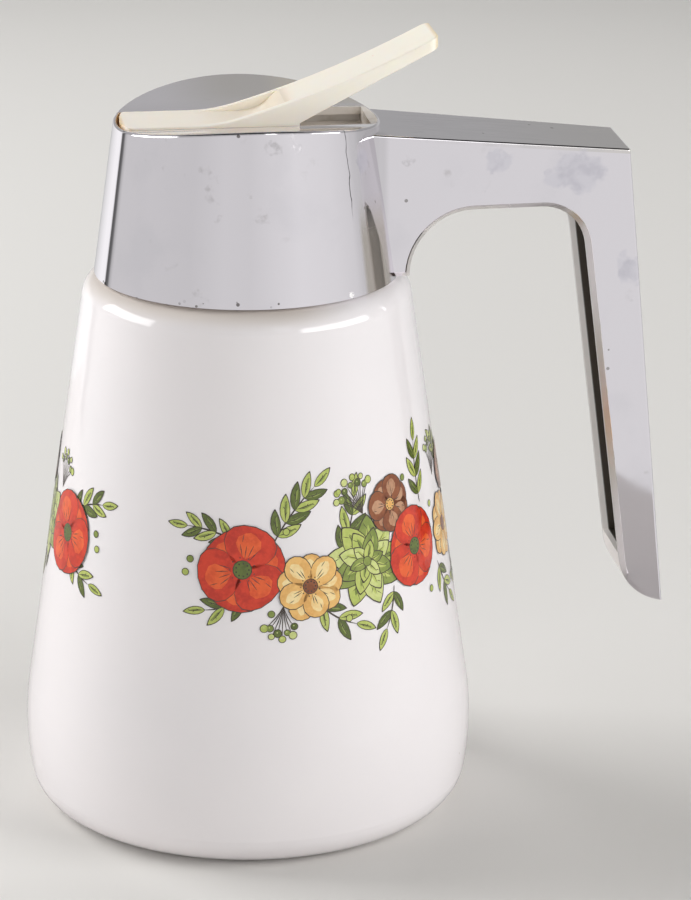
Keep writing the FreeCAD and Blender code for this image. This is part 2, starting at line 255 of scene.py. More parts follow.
def patch(azimuth_deg, half_width_deg, low_z, high_z, soft_deg=4.0, soft_z=0.04):
    """A soft-edged window in the surroundings, such as a softbox."""
    centre = math.radians(azimuth_deg)
    facing = maths(tree, "ADD", maths(tree, "MULTIPLY", x, math.cos(centre)),
                   maths(tree, "MULTIPLY", y, math.sin(centre)))
    level = maths(tree, "SQRT", maths(tree, "SUBTRACT", 1.0, maths(tree, "MULTIPLY", z, z)))
    nearness = maths(tree, "DIVIDE", facing, maths(tree, "MAXIMUM", level, 0.001))
    edge_in = math.cos(math.radians(half_width_deg - soft_deg / 2))
    edge_out = math.cos(math.radians(half_width_deg + soft_deg / 2))
    wide = step(tree, nearness, edge_out, edge_in)
    above = step(tree, z, low_z - soft_z / 2, low_z + soft_z / 2)
    below = step(tree, z, high_z + soft_z / 2, high_z - soft_z / 2)
    return maths(tree, "MULTIPLY", wide, maths(tree, "MULTIPLY", above, below))


walls_and_ceiling = tinted(tree, step(tree, z, 0.06, 0.16), horizon.outputs[0], sky.outputs[0])
side_windows = maths(tree, "ADD", patch(170, 24, 0.09, 0.46), patch(-32, 27, 0.07, 0.34))
front_window = patch(-72.5, 6, 0.25, 0.66)
windows = maths(tree, "MULTIPLY_ADD", side_windows, 6.0,
                maths(tree, "MULTIPLY", front_window, 1.5))
glow = tree.nodes.new("ShaderNodeMix")
glow.data_type = "RGBA"
glow.blend_type = "ADD"
glow.inputs["Factor"].default_value = 1.0
tree.links.new(walls_and_ceiling, glow.inputs[6])
tree.links.new(windows, glow.inputs[7])
camera_ray = tree.nodes.new("ShaderNodeLightPath").outputs["Is Camera Ray"]
seen = tinted(tree, camera_ray, glow.outputs[2], (0.62, 0.60, 0.575))
tree.links.new(seen, background.inputs["Color"])
print("surroundings:", len(tree.nodes), "nodes")

# %% [markdown]
# Plating, glass and plastic all carry small marks: cloudy patches where hands have been, pits
# and dust. They could be painted on an image, but noise from the piece's own coordinates has no
# edge or seam and needs no file. Two groups hold it, and each finish gives them its own values.

# %% Marks that every finish shares
def new_group(name, inputs):
    """A shader group with number inputs and one output called Mask."""
    tree = bpy.data.node_groups.new(name, "ShaderNodeTree")
    for socket, value in inputs.items():
        item = tree.interface.new_socket(socket, in_out="INPUT", socket_type="NodeSocketFloat")
        item.default_value = value
    tree.interface.new_socket("Mask", in_out="OUTPUT", socket_type="NodeSocketFloat")
    return tree, tree.nodes.new("NodeGroupInput").outputs, tree.nodes.new("NodeGroupOutput").inputs


def own_coordinates(tree):
    """The piece's own coordinates, in metres."""
    return tree.nodes.new("ShaderNodeTexCoord").outputs["Object"]


def own_xyz(tree):
    """The same coordinates as three separate numbers."""
    node = tree.nodes.new("ShaderNodeSeparateXYZ")
    tree.links.new(own_coordinates(tree), node.inputs[0])
    return node.outputs


cloudy, given, result = new_group("cloudy", {
    "Scale": 60, "Shift": 0, "Low": 0.45, "High": 0.7,
})
cloud = cloudy.nodes.new("ShaderNodeTexNoise")
cloud.noise_dimensions = "4D"
cloud.inputs["Detail"].default_value = 4
cloudy.links.new(own_coordinates(cloudy), cloud.inputs["Vector"])
cloudy.links.new(given["Shift"], cloud.inputs["W"])
cloudy.links.new(given["Scale"], cloud.inputs["Scale"])
cloudy.links.new(step(cloudy, cloud.outputs["Fac"], given["Low"], given["High"]), result["Mask"])

specks, given, result = new_group("specks", {"Scale": 300, "Size": 0.12, "Share": 0.1})
cells = specks.nodes.new("ShaderNodeTexVoronoi")
specks.links.new(own_coordinates(specks), cells.inputs["Vector"])
specks.links.new(given["Scale"], cells.inputs["Scale"])
chance = specks.nodes.new("ShaderNodeSeparateColor")
specks.links.new(cells.outputs["Color"], chance.inputs[0])
size = maths(specks, "MULTIPLY", given["Size"], chance.outputs[1])
spot = maths(specks, "LESS_THAN", cells.outputs["Distance"], size)
chosen = maths(specks, "LESS_THAN", chance.outputs[0], given["Share"])
specks.links.new(maths(specks, "MULTIPLY", spot, chosen), result["Mask"])


def marks(tree, group, **values):
    """One of the two groups, placed in a material with its own values."""
    node = tree.nodes.new("ShaderNodeGroup")
    node.node_tree = group
    for name, value in values.items():
        node.inputs[name].default_value = value
    return node.outputs["Mask"]


def noise_field(tree, scale, detail=2, vector=None):
    """Smooth noise over the piece, or over other coordinates if they are given."""
    node = tree.nodes.new("ShaderNodeTexNoise")
    node.inputs["Scale"].default_value = scale
    node.inputs["Detail"].default_value = detail
    tree.links.new(own_coordinates(tree) if vector is None else vector, node.inputs["Vector"])
    return node.outputs["Fac"]


print("groups:", [group.name for group in bpy.data.node_groups])

# %% [markdown]
# The jar is opal glass: white all through, and as smooth as a mirror outside. Subsurface
# scattering could make its milky depth, but over a wall this thick it only softens light that
# the softboxes have softened already, so a white base under a clear gloss does it. Close under
# the cap, a faint tan band is painted shade from the overhanging rim.

# %% Milk glass
milk_glass, tree, shader = new_material("milk_glass", (0.88, 0.842, 0.85), 0.045)
shader.inputs["IOR"].default_value = 1.52
body = tinted(tree, marks(tree, cloudy, Scale=35, Low=0.35, High=0.75),
              (0.885, 0.847, 0.855), (0.865, 0.832, 0.842))
dust = marks(tree, specks, Scale=120, Size=0.05, Share=0.06)
body = tinted(tree, dust, body, (0.55, 0.49, 0.43))
x, y, z = own_xyz(tree)
# Painted shade: a faint tan band on the glass just under the cap's rim.
rim_shade = step(tree, z, cap_rim - 4.2 * mm, cap_rim - 0.6 * mm)
rim_shade = maths(tree, "MULTIPLY", rim_shade, step(tree, x, 20 * mm, 4 * mm))
shaded = tinted(tree, rim_shade, body, (0.72, 0.655, 0.60))
tree.links.new(shaded, shader.inputs["Base Color"])
haze = marks(tree, cloudy, Scale=90, Shift=3, Low=0.5, High=0.8)
tree.links.new(maths(tree, "MULTIPLY_ADD", haze, 0.05, 0.045), shader.inputs["Roughness"])
dress(nodes["jar"], milk_glass)
print("jar:", milk_glass.name)

# %% [markdown]
# The cap and handle are one moulding, plated with bright chromium outside. The channel under
# the arm and grip is less metallic and rougher, and its dark colour is painted shade, darker
# deeper in. A second material on those faces could show that, but the model's faces aren't ours
# to change, so the plating finds the channel by place: inside the side walls, under the top web
# and in front of the outer one.

# %% Measure the handle
near_x, far_x = 40 * mm, 70 * mm
high_z, middle_z, low_z = 110 * mm, 80 * mm, 70 * mm
below_edge = 4 * mm
arm_near = hit("pour_cap", (near_x, 0, 0.3), (0, 0, -1))
arm_far = hit("pour_cap", (far_x, 0, 0.3), (0, 0, -1))
grip_up = hit("pour_cap", (0.3, 0, high_z), (-1, 0, 0))
grip_down = hit("pour_cap", (0.3, 0, low_z), (-1, 0, 0))
side_near = hit("pour_cap", (near_x, -0.2, arm_near.z - below_edge), (0, 1, 0))
side_far = hit("pour_cap", (far_x, -0.2, arm_far.z - below_edge), (0, 1, 0))
arm_slope = (arm_far.z - arm_near.z) / (far_x - near_x)
grip_slope = (grip_up.x - grip_down.x) / (high_z - low_z)
side_slope = (abs(side_far.y) - abs(side_near.y)) / (far_x - near_x)


def half_width(x):
    """Half the handle's width, which shrinks towards the grip."""
    return abs(side_near.y) + side_slope * (x - near_x)


in_the_wall = half_width(68 * mm) - 1.6 * mm
inner_high = hit("pour_cap", (50 * mm, -in_the_wall, high_z), (1, 0, 0))
inner_low = hit("pour_cap", (50 * mm, -in_the_wall, middle_z), (1, 0, 0))
inner_slope = (inner_high.x - inner_low.x) / (high_z - middle_z)
arch = hit("pour_cap", (55 * mm, 1.6 * mm - half_width(55 * mm), 100 * mm), (0, 0, 1))
print("arm top", round(arm_near.z, 4), "grip end", round(grip_up.x, 4),
      "half width", round(abs(side_near.y), 4), "slopes", round(arm_slope, 3),
      round(grip_slope, 3), round(side_slope, 3))
print("inner edge", round(inner_high.x, 4), "slope", round(inner_slope, 3),
      "arch", round(arch.z, 4))

# %% Measure the slot
slot_floor = hit("pour_cap", (20 * mm, 0, 0.3), (0, 0, -1)).z
groove_side = hit("pour_cap", (20 * mm, 0, slot_floor + 0.6 * mm), (0, 1, 0)).y
dish_near = hit("pour_cap", (15 * mm, groove_side, 0.3), (0, 0, -1)).z
slot_side = hit("pour_cap", (15 * mm, 0, dish_near - 0.6 * mm), (0, 1, 0)).y
slot_top = hit("pour_cap", (0, slot_side + 0.2 * mm, 0.3), (0, 0, -1)).z
print("slot floor", round(slot_floor, 4), "top", round(slot_top, 4),
      "side", round(slot_side, 4), "groove", round(groove_side, 4))

# %% Where plating stops
chrome, tree, shader = new_material("chrome", (0.86, 0.83, 0.87), 0.05, 1.0)
x, y, z = own_xyz(tree)
level_y = maths(tree, "ABSOLUTE", y)


def product(tree, *masks):
    """Masks multiplied together."""
    result = masks[0]
    for mask in masks[1:]:
        result = maths(tree, "MULTIPLY", result, mask)
    return result


def joined(tree, *masks):
    """The larger of several masks at each place."""
    result = masks[0]
    for mask in masks[1:]:
        result = maths(tree, "MAXIMUM", result, mask)
    return result


def opposite(tree, mask):
    """1 where a mask is 0, and 0 where it is 1."""
    return maths(tree, "SUBTRACT", 1.0, mask)


def within(tree, value, low, high, soft=0.2 * mm):
    """1 between two limits and 0 outside them."""
    return product(tree, step(tree, value, low - soft, low), step(tree, value, high + soft, high))


web, side_wall, plated_edge = 0.9 * mm, 1.5 * mm, 1.1 * mm
sharp = 0.2 * mm
half = maths(tree, "MULTIPLY_ADD", x, side_slope, half_width(0) - side_wall)
side_depth = maths(tree, "SUBTRACT", half, level_y)
inside = step(tree, side_depth, 0.0, sharp)
top = maths(tree, "MULTIPLY_ADD", x, arm_slope, arm_near.z - near_x * arm_slope - web)
under = step(tree, maths(tree, "SUBTRACT", top, z), 0.0, sharp)
end = maths(tree, "MULTIPLY_ADD", z, grip_slope, grip_up.x - high_z * grip_slope - web)
before = step(tree, maths(tree, "SUBTRACT", end, x), 0.0, sharp)
inner = maths(tree, "MULTIPLY_ADD", z, inner_slope, inner_high.x - high_z * inner_slope)
past_inner = maths(tree, "SUBTRACT", x, inner)
into_grip = step(tree, past_inner, plated_edge, plated_edge + 0.3 * mm)
into_arm = step(tree, z, arch.z + plated_edge, arch.z + plated_edge + 0.3 * mm)
deep = joined(tree, into_grip, into_arm)
channel = product(tree, inside, under, before, deep, step(tree, x, 31 * mm, 31.4 * mm))
# Painted shade: the channel's colour darkens from its mouth to deep inside the grip.
deeper_in_shade = step(tree, x, 42 * mm, 60 * mm)
shaded_inside = tinted(tree, deeper_in_shade, (0.26, 0.24, 0.22), (0.105, 0.090, 0.074))
print("channel:", len(tree.nodes), "nodes so far")

# %% Edges of the channel
rim_face = product(tree, step(tree, side_depth, -1.3 * mm, -1.1 * mm),
                   step(tree, x, 56 * mm, 48 * mm))
hidden_edge = product(tree, under, before, step(tree, x, 30.2 * mm, 30.8 * mm),
                      opposite(tree, deep), joined(tree, inside, rim_face))
beyond_arch = step(tree, x, 54 * mm, 60 * mm)
bevel = product(tree, step(tree, side_depth, -1.48 * mm, -1.42 * mm),
                step(tree, past_inner, 1.25 * mm, 1.15 * mm), beyond_arch,
                step(tree, z, arch.z + 1.5 * mm, arch.z - 0.5 * mm))
strip = product(tree, hidden_edge, inside, beyond_arch)
print("edges:", len(tree.nodes), "nodes so far")

# %% [markdown]
# The lever's slot isn't bright either. Its floor and grooves are thinly plated and full of fine
# dirt, so they are half dull, and the little wall in front of the lever is painted amber as
# shade, the colour of the lever's shaded cream front. A thin dark line along the slot's near edge
# and a thin brown one along its far edge are painted shadows of the gaps beside the lever.

# %% Slot, its dirt and painted shade
from_axis = maths(tree, "SQRT", maths(tree, "MULTIPLY_ADD", x, x, maths(tree, "MULTIPLY", y, y)))
slot_wide = step(tree, level_y, groove_side + 0.3 * mm, groove_side + 0.1 * mm)
slot = product(tree, slot_wide, within(tree, z, slot_floor - 0.3 * mm, slot_top - 0.1 * mm),
               step(tree, from_axis, 26.6 * mm, 26.4 * mm))
# Painted shade: amber on the wall in front of the lever, as its shaded cream front.
amber_shade = product(tree, slot, step(tree, x, -21.5 * mm, -22.5 * mm))
floor_dirt = marks(tree, cloudy, Scale=320, Shift=7, Low=0.45, High=0.70)
slot_metal = tinted(tree, floor_dirt, (0.66, 0.625, 0.59), (0.55, 0.51, 0.46))
slot_metal = tinted(tree, amber_shade, slot_metal, (0.50, 0.30, 0.12))
on_dish = step(tree, z, slot_top - 0.3 * mm, slot_top - 0.1 * mm)
# Painted shadows: thin lines along the gaps at the slot's near and far edges.
near_gap_shadow = product(tree, on_dish, within(tree, y, -slot_side - 0.5 * mm, -slot_side),
                    step(tree, x, 8 * mm, -12 * mm))
far_gap_shadow = product(tree, on_dish, within(tree, y, slot_side, slot_side + 0.3 * mm),
                   step(tree, x, -6 * mm, -16 * mm))
print("slot:", len(tree.nodes), "nodes so far")

# %% [markdown]
# The plating's marks are all masks that tint the plate or dull it. The broad ones come first:
# faint clouds where it was wiped, small smears, fine lines along the brushed top of the arm,
# painted shade on the far side of the dish and towards the arm's end, a painted warm reflection
# by the tab, and painted shade where the arm's root meets the cone.

# %% Clouds, smears and brushed lines
clouds = marks(tree, cloudy, Scale=70, Low=0.50, High=0.72)
fine_clouds = marks(tree, cloudy, Scale=260, Shift=5, Low=0.60, High=0.74)
smudge = product(tree, fine_clouds, marks(tree, cloudy, Scale=45, Shift=9, Low=0.50, High=0.62))
plate = tinted(tree, clouds, (0.868, 0.836, 0.875), (0.828, 0.800, 0.840))
plate = tinted(tree, smudge, plate, (0.70, 0.67, 0.69))
# Painted shade: the far side of the dish is darker.
far_dish_shade = product(tree, on_dish, step(tree, y, 4 * mm, 18 * mm), step(tree, x, -18 * mm, 0.0))
plate = tinted(tree, far_dish_shade, plate, (0.73, 0.70, 0.675))
# Painted reflection: the dish is warmer by the lever's tab.
dish_end_reflection = product(tree, far_dish_shade, step(tree, x, 5 * mm, 12 * mm))
plate = tinted(tree, dish_end_reflection, plate, (0.84, 0.79, 0.70))

on_arm = product(tree, opposite(tree, under), step(tree, x, 31 * mm, 34 * mm))
# Painted shade: the arm's top darkens towards its end.
arm_end_shade = product(tree, on_arm, step(tree, x, 40 * mm, 78 * mm))
plate = tinted(tree, arm_end_shade, plate, (0.79, 0.755, 0.735))
stretch = tree.nodes.new("ShaderNodeMapping")
stretch.inputs["Scale"].default_value = (1, 26, 1)
tree.links.new(own_coordinates(tree), stretch.inputs["Vector"])
hairlines = noise_field(tree, 110, detail=5, vector=stretch.outputs[0])
brushed = product(tree, on_arm, step(tree, hairlines, 0.42, 0.66))
plate = tinted(tree, maths(tree, "MULTIPLY", brushed, 0.5), plate, (0.72, 0.70, 0.71))
bearing = maths(tree, "ARCTAN2", y, x)
# Painted shade where the arm's root meets the cone.
fillet_shade = product(tree, step(tree, bearing, -0.79, -0.70),
                       step(tree, x, 27.8 * mm, 26.2 * mm), step(tree, y, -8 * mm, -11 * mm))
plate = tinted(tree, fillet_shade, plate, (0.74, 0.715, 0.745))
print("broad marks:", len(tree.nodes), "nodes so far")

# %% [markdown]
# Worn places and single spots come next. Each is a mask that falls off round a point, and noise
# makes it ragged. They could be painted on an image. Here each point is chosen on the piece, by a
# bearing and a height on the cone or a distance along the handle, and a ray finds the plate
# there, so a mark can't come off the surface.

# %% Places on the plate
def on_cone(degrees, above_mm):
    """A point on the cone, by its bearing and its height above the cap's lower rim."""
    away = Vector((math.cos(math.radians(degrees)), math.sin(math.radians(degrees)), 0))
    return hit("pour_cap", away * 0.1 + Vector((0, 0, cap_rim + above_mm * mm)), -away)


def on_cheek(along_mm, below_mm):
    """A point on the handle's near side, by its distance out and below the arm's top."""
    return hit("pour_cap", (along_mm * mm, -0.2, arm_near.z - below_mm * mm), (0, 1, 0))


def on_top(along_mm, across_mm):
    """A point on top of the arm."""
    return hit("pour_cap", (along_mm * mm, across_mm * mm, 0.3), (0, 0, -1))


wobble = noise_field(tree, 320)


def blotch(tree, centre, radius_mm, ragged_mm=0.0):
    """A round or ragged place about a point, 1 in the middle and 0 outside."""
    offset = tree.nodes.new("ShaderNodeVectorMath")
    offset.operation = "DISTANCE"
    tree.links.new(own_coordinates(tree), offset.inputs[0])
    offset.inputs[1].default_value = centre
    reach = maths(tree, "MULTIPLY_ADD", wobble, 2 * ragged_mm * mm, -ragged_mm * mm)
    reach = maths(tree, "ADD", offset.outputs["Value"], reach)
    return step(tree, reach, radius_mm * mm, 0.6 * radius_mm * mm)


def blotches(tree, *places):
    """Several blotches in one mask, each given as its point, its radius and its raggedness."""
    return joined(tree, *(blotch(tree, *place) for place in places))


# %% Worn places and spots
held = blotches(tree, (on_cheek(50, 5), 3.0, 2.5), (on_cheek(67, 8), 5.5, 3.5),
                (on_cheek(62, 9), 2.5, 2.0), (on_cheek(78, 29), 3.5, 3.0),
                (on_cone(-40, 26), 2.5, 2.0))
plate = tinted(tree, maths(tree, "MULTIPLY", held, 0.7), plate, (0.77, 0.75, 0.81))
held_marks = product(tree, held, marks(tree, cloudy, Scale=330, Shift=6, Low=0.40, High=0.72))
plate = tinted(tree, held_marks, plate, (0.69, 0.67, 0.73))
worn = blotches(tree, (on_cone(-85, 32), 2.0, 2.5), (on_cone(-75, 31), 1.5, 2.0),
                (on_cheek(31, 4), 1.5, 1.5))
worn = product(tree, worn, marks(tree, cloudy, Scale=520, Shift=8, Low=0.42, High=0.66))
plate = tinted(tree, worn, plate, (0.68, 0.655, 0.68))
faint_spots = blotches(tree, (on_cheek(74, 46), 0.25, 0.5), (on_cheek(74, 50), 0.3, 0.5))
plate = tinted(tree, faint_spots, plate, (0.45, 0.43, 0.43))
spots = blotches(tree, (on_cone(-100, 1), 0.35, 0.5), (on_cone(-85, 1), 0.25, 0.5),
                 (on_cone(-100, 34), 0.3, 0.5), (on_top(64, 5), 0.5, 0.5), (on_top(48, -4), 0.3))
plate = tinted(tree, spots, plate, (0.26, 0.24, 0.24))
print("worn places:", len(tree.nodes), "nodes so far")

# %% [markdown]
# Last come single pits, a row of pits where the plating lifted along the lower rim, one fine
# crack down the front and a chip at its foot, whose white is a painted highlight. The crack is a
# narrow band of bearings that noise bends. A cut in the mesh would be too deep for a crack in a
# plating this thin.

# %% Pits, crack and chip
pits = marks(tree, specks, Scale=420, Size=0.16, Share=0.035)
plate = tinted(tree, pits, plate, (0.42, 0.40, 0.40))
on_cap = step(tree, x, 40 * mm, 35 * mm)
rim_pits = product(tree, marks(tree, specks, Scale=900, Size=0.42, Share=0.14),
                   step(tree, z, cap_rim + 2.2 * mm, cap_rim + 0.8 * mm),
                   marks(tree, cloudy, Scale=60, Shift=2, Low=0.48, High=0.60), on_cap)
plate = tinted(tree, rim_pits, plate, (0.16, 0.14, 0.13))
crack_bearing, crack_bend, crack_half_width = math.radians(-50), 0.05, 0.0020
crack_foot, crack_full = 129 * mm, 134.5 * mm
crack = maths(tree, "MULTIPLY_ADD", wobble, crack_bend, crack_bearing - crack_bend / 2)
crack = maths(tree, "ABSOLUTE", maths(tree, "SUBTRACT", bearing, crack))
crack = product(tree, step(tree, crack, crack_half_width + 0.0025, crack_half_width),
                step(tree, z, crack_foot, crack_full), on_cap)
plate = tinted(tree, crack, plate, (0.12, 0.115, 0.125))
# Painted highlight: the chip is plain white where it glints.
chip_glint = blotch(tree, on_cone(-55, 1), 1.0, 1.5)
plate = tinted(tree, chip_glint, plate, (0.97, 0.96, 0.96))
# Painted shadows of the gaps along the slot's edges.
plate = tinted(tree, near_gap_shadow, plate, (0.10, 0.09, 0.085))
plate = tinted(tree, far_gap_shadow, plate, (0.30, 0.20, 0.12))
print("all marks:", len(tree.nodes), "nodes so far")

# %% [markdown]
# The parts come together here. Unplated places are less metallic and rougher, and the painted
# shadows and shade are less metallic too. Painted shade darkens the cone by the arm's root.
# The bevel along the grip is rougher, and its darker grey is a painted reflection. The narrow
# plated strip inside the far wall would need many bounces of light to show, so a faint glow
# stands for the light that it gathers.

# %% Put the plating together
# Painted shade on the cone by the arm's root, also made less metallic.
root_shade = product(tree, within(tree, bearing, -0.78, -0.50, 0.05),
                   step(tree, z, 135 * mm, 125 * mm), step(tree, x, 28.5 * mm, 27 * mm))
finish = tinted(tree, slot, plate, slot_metal)
finish = tinted(tree, root_shade, finish, (0.50, 0.46, 0.42))
# Painted reflection: the grip's bevel is a darker grey.
finish = tinted(tree, bevel, finish, (0.62, 0.60, 0.60))
finish = tinted(tree, hidden_edge, finish, (0.74, 0.71, 0.69))
finish = tinted(tree, channel, finish, shaded_inside)
tree.links.new(finish, shader.inputs["Base Color"])
dull = maths(tree, "MULTIPLY_ADD", clouds, 0.03, 0.04)
for mask, rougher in ((joined(tree, smudge, held_marks, worn), 0.12),
                      (joined(tree, channel, slot), 0.30), (on_arm, 0.05), (bevel, 0.26)):
    dull = maths(tree, "MULTIPLY_ADD", mask, rougher, dull)
tree.links.new(dull, shader.inputs["Roughness"])
unplated_and_shaded = joined(tree, near_gap_shadow, far_gap_shadow, chip_glint)
for mask, share in ((channel, 0.7), (slot, 0.85), (root_shade, 0.32), (hidden_edge, 0.7)):
    unplated_and_shaded = joined(tree, unplated_and_shaded, maths(tree, "MULTIPLY", mask, share))
tree.links.new(opposite(tree, unplated_and_shaded), shader.inputs["Metallic"])
print("plating:", len(tree.nodes), "nodes so far")

# %% Glow in the grip and waves in the plate
shader.inputs["Emission Strength"].default_value = 1.0
tree.links.new(tinted(tree, strip, (0.0, 0.0, 0.0), (0.17, 0.165, 0.16)),
               shader.inputs["Emission Color"])
bump = tree.nodes.new("ShaderNodeBump")
bump.inputs["Strength"].default_value = 0.12
bump.inputs["Distance"].default_value = 0.4 * mm
tree.links.new(noise_field(tree, 45), bump.inputs["Height"])
tree.links.new(bump.outputs["Normal"], shader.inputs["Normal"])
dress(nodes["pour_cap"], chrome)
print("chrome:", len(tree.nodes), "nodes")

# %% [markdown]
# The lever is cream plastic, a little see-through and yellowed with age, and palest on the tab.
# Painted shade darkens its hollow and the crest there, the end of the tab, and its front end,
# which is painted amber. A trace of subsurface scattering and a very faint glow stand for the
# light inside it. A plain base colour would leave it chalky.

# %% Cream plastic
cream, tree, shader = new_material("cream_plastic", (0.96, 0.91, 0.81), 0.36)
x, y, z = own_xyz(tree)
level_y = maths(tree, "ABSOLUTE", y)
lever_low, lever_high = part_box("thumb_lever")
tab = step(tree, x, -4 * mm, 14 * mm)
body = tinted(tree, tab, (0.990, 0.905, 0.805), (0.995, 0.930, 0.825))
aged = marks(tree, cloudy, Scale=80, Shift=1, Low=0.42, High=0.70)
body = tinted(tree, maths(tree, "MULTIPLY", aged, 0.35), body, (0.93, 0.85, 0.69))
# Painted shade: the hollow is darker and warmer.
hollow_shade = product(tree, step(tree, level_y, 5.8 * mm, 5.5 * mm), step(tree, x, -12 * mm, -4 * mm),
                 step(tree, x, 10 * mm, 7 * mm),
                 step(tree, z, lever_low[2] + 2 * mm, lever_low[2] + 3 * mm))
body = tinted(tree, hollow_shade, body, (0.89, 0.81, 0.69))
# Painted shade: the crest in the hollow, which faces a lamp, is darker.
crest_shade = product(tree, hollow_shade, within(tree, x, 4.5 * mm, 7.2 * mm, soft=1.5 * mm))
body = tinted(tree, crest_shade, body, (0.80, 0.71, 0.58))
# Painted shade: the end of the tab is darker.
end_shade = step(tree, x, lever_high[0] - 1.1 * mm, lever_high[0] - 0.3 * mm)
body = tinted(tree, end_shade, body, (0.74, 0.62, 0.43))
# Painted shade: the lever's front end is darkened to amber.
front = step(tree, x, lever_low[0] + 0.9 * mm, lever_low[0])
body = tinted(tree, front, body, (0.80, 0.60, 0.36))
grime = marks(tree, specks, Scale=500, Size=0.12, Share=0.015)
body = tinted(tree, grime, body, (0.55, 0.45, 0.33))
tree.links.new(body, shader.inputs["Base Color"])
tree.links.new(maths(tree, "MULTIPLY_ADD", aged, 0.12, 0.32), shader.inputs["Roughness"])
shader.inputs["Subsurface Weight"].default_value = 0.3
shader.inputs["Subsurface Radius"].default_value = (1.0, 0.75, 0.5)
shader.inputs["Subsurface Scale"].default_value = 3 * mm
shader.inputs["Emission Color"].default_value = (1.0, 0.82, 0.62, 1)
shader.inputs["Emission Strength"].default_value = 0.055
dress(nodes["thumb_lever"], cream)
print("thumb lever:", cream.name)

# %% [markdown]
# A garland of leaves, berries and flowers is printed round the glass in enamel inks, in two runs
# with bare glass between them. Paint on a texture would be one way. Here each leaf and petal is
# a thin flat shape instead, because a shape keeps a crisp edge at any distance. A shape starts
# as a circle that is drawn out to a leaf. A slightly larger dark copy under it is its outline.
# Everything is laid out flat, in metres along and up the band, and wrapped on the glass at the end.

# %% Where the band lies
band_middle, reach_up = 64 * mm, 20 * mm
low_place = hit("jar", (0.3, 0, band_middle - reach_up), (-1, 0, 0))
high_place = hit("jar", (0.3, 0, band_middle + reach_up), (-1, 0, 0))
band_radius = (low_place.x + high_place.x) / 2
band_slope = (high_place.x - low_place.x) / (2 * reach_up)
facet = 1.4 * mm
layer_gap = 0.0035 * mm
above_glass = 0.045 * mm
print("band radius", round(band_radius, 4), "slope", round(band_slope, 4))

# %% Inks
def ink(name, colour, second):
    """A printed enamel: one colour, patchy with a second, as glossy as the glass under it."""
    material, tree, shader = new_material(name, colour, 0.10)
    shader.inputs["IOR"].default_value = 1.5
    patchy = marks(tree, cloudy, Scale=420, Low=0.42, High=0.60)
    brushed = marks(tree, cloudy, Scale=1500, Shift=4, Low=0.40, High=0.75)
    base = tinted(tree, patchy, colour, second)
    base = tinted(tree, maths(tree, "MULTIPLY", brushed, 0.35), base,
                  tuple(min(1.0, value * 1.25 + 0.01) for value in colour))
    tree.links.new(base, shader.inputs["Base Color"])
    return material


inks = {
    "line": ink("ink_line", (0.045, 0.034, 0.028), (0.075, 0.058, 0.045)),
    "poppy": ink("ink_poppy", (0.66, 0.050, 0.020), (0.52, 0.034, 0.016)),
    "orange": ink("ink_orange", (0.80, 0.125, 0.030), (0.70, 0.085, 0.022)),
    "ochre": ink("ink_ochre", (0.83, 0.50, 0.165), (0.74, 0.40, 0.12)),
    "straw": ink("ink_straw", (0.90, 0.70, 0.36), (0.86, 0.60, 0.26)),
    "chestnut": ink("ink_chestnut", (0.28, 0.092, 0.036), (0.21, 0.064, 0.026)),
    "fawn": ink("ink_fawn", (0.52, 0.29, 0.17), (0.42, 0.21, 0.115)),
    "lime": ink("ink_lime", (0.50, 0.56, 0.150), (0.42, 0.50, 0.115)),
    "pale_lime": ink("ink_pale_lime", (0.60, 0.65, 0.25), (0.53, 0.60, 0.20)),
    "olive": ink("ink_olive", (0.125, 0.165, 0.036), (0.095, 0.125, 0.030)),
    "moss": ink("ink_moss", (0.26, 0.32, 0.075), (0.20, 0.26, 0.055)),
}
ink_order = list(inks)
print("inks:", len(inks))

# %% [markdown]
# A blade is the one shape that makes all the rest. A circle's points slide sideways to a pointed
# or a rounded outline, and the whole is bent along an arc. Before a blade joins the print it is
# cut at each facet line of the glass, so that it can follow the curve.

# %% Blades and discs
def lay(shape, print_mesh, colour, layer, spot, turn_deg):
    """Turns and places a flat shape, cuts it at the facet lines and adds it to the print."""
    turned = Matrix.Rotation(math.radians(turn_deg), 3, "Z")
    bmesh.ops.rotate(shape, matrix=turned, verts=shape.verts)
    bmesh.ops.translate(shape, vec=(*spot, layer * layer_gap), verts=shape.verts)
    across = [vert.co.x for vert in shape.verts]
    for line in range(math.ceil(min(across) / facet), math.floor(max(across) / facet) + 1):
        bmesh.ops.bisect_plane(shape, geom=shape.verts[:] + shape.edges[:] + shape.faces[:],
                               dist=1e-8, plane_co=(line * facet, 0, 0), plane_no=(1, 0, 0))
    for face in shape.faces:
        face.material_index = ink_order.index(colour)
    part = bpy.data.meshes.new("part")
    shape.to_mesh(part)
    shape.free()
    print_mesh.from_mesh(part)
    bpy.data.meshes.remove(part)


def blade(print_mesh, colour, layer, spot, turn_deg, length, width,
          point=1.0, belly=1.0, bend_deg=0.0, start=0.0, sides=16):
    """A leaf or petal that grows from a spot. point 1 is pointed and 0.5 is round; belly under 1
    is widest near the spot."""
    shape = bmesh.new()
    bmesh.ops.create_circle(shape, cap_ends=True, segments=sides, radius=1.0)
    bend = math.radians(bend_deg)
    for vert in shape.verts:
        along = (1 + vert.co.x) / 2
        fat = 4 * along ** belly * (1 - along ** belly)
        side = math.copysign(max(fat, 0.0) ** point, vert.co.y) * width / 2
        side = side if abs(vert.co.y) > 1e-6 else 0.0
        far = start + along * (length - start)
        if abs(bend) > 1e-4:
            arc = bend * far / length
            middle = Vector((math.sin(arc), 1 - math.cos(arc), 0)) * length / bend
            vert.co = middle + Vector((-math.sin(arc), math.cos(arc), 0)) * side
        else:
            vert.co = Vector((far, side, 0))
    lay(shape, print_mesh, colour, layer, spot, turn_deg)


